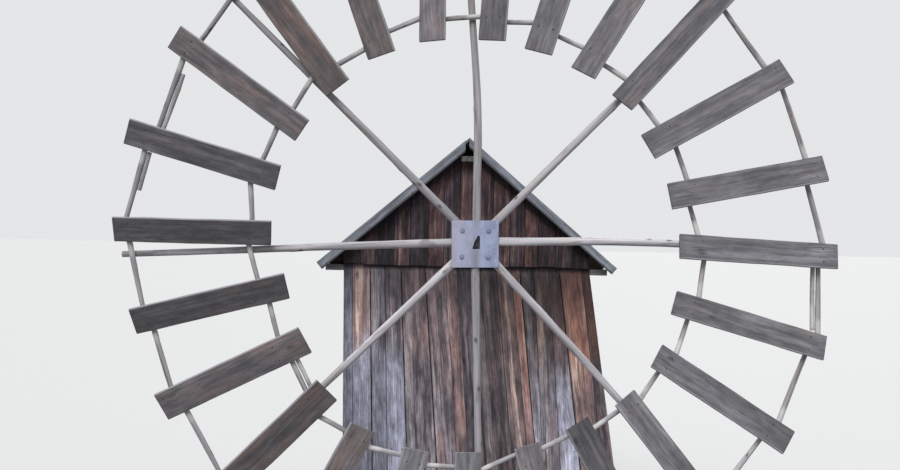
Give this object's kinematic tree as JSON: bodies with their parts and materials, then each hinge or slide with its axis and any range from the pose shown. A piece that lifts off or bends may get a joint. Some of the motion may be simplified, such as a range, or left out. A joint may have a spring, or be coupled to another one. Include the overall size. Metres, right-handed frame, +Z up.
{
  "type": "windmill",
  "caption": "Wooden wind wheel mill: a large wheel of pitched boards on peeled pole spokes turns in front of a narrow boarded hut with a gable roof.",
  "frame": {"origin": "on the ground under the front sill, in the middle of its width and below the axis of the wheel", "axes": "+Z up; +Y from the wheel towards the back wall, along the shaft; +X to the right seen from the front"},
  "size_m": [6.5833, 3.8985, 7.2413],
  "materials": {
    "frame_timber": "rough sawn, weathered",
    "wall_boards": "weathered, uncoated",
    "gable_boards": "weathered, red-brown",
    "roof_boards": "weathered grey",
    "barge_boards": "weathered grey",
    "bearing_iron": "dark, greasy",
    "shaft_steel": "turned, dull",
    "hub_steel": "galvanised, dull",
    "peeled_pole": "peeled, silver grey",
    "wedge_wood": "sawn, weathered",
    "vane_boards": "weathered, rough sawn"
  },
  "bodies": {
    "mill_house": {"sill_front": "frame_timber", "sill_back": "frame_timber", "sill_left": "frame_timber", "sill_right": "frame_timber", "post_front_left": "frame_timber", "post_front_right": "frame_timber", "post_back_left": "frame_timber", "post_back_right": "frame_timber", "wall_rails": "frame_timber", "tie_front": "frame_timber", "tie_back": "frame_timber", "plate_left": "frame_timber", "plate_right": "frame_timber", "neck_beam": "frame_timber", "tail_beam": "frame_timber", "neck_bearing": "bearing_iron", "tail_bearing": "bearing_iron", "ridge_beam": "frame_timber", "rafters": "frame_timber", "front_wall": "wall_boards", "back_wall": "wall_boards", "left_wall": "wall_boards", "right_wall": "wall_boards", "front_gable": "gable_boards", "back_gable": "gable_boards", "roof_left": "roof_boards", "roof_right": "roof_boards", "barge_front": "barge_boards", "barge_back": "barge_boards"},
    "wheel": {"windshaft": "shaft_steel", "hub_plate_front": "hub_steel", "hub_plate_back": "hub_steel", "inner_rim": "peeled_pole", "outer_rim": "peeled_pole", "vane_wedges": "wedge_wood", "spoke_1": "peeled_pole", "spoke_2": "peeled_pole", "spoke_3": "peeled_pole", "spoke_4": "peeled_pole", "spoke_5": "peeled_pole", "spoke_6": "peeled_pole", "spoke_7": "peeled_pole", "spoke_8": "peeled_pole", "vanes_1": "vane_boards", "vanes_2": "vane_boards", "vanes_3": "vane_boards", "vanes_4": "vane_boards", "vanes_5": "vane_boards", "vanes_6": "vane_boards", "vanes_7": "vane_boards", "vanes_8": "vane_boards"}
  },
  "joints": [
    {"name": "wheel_spin", "type": "hinge", "parent": "mill_house", "child": "wheel", "pos_m": [0, -0.97, 3.95], "axis": [0, 1, 0], "continuous": true}
  ]
}
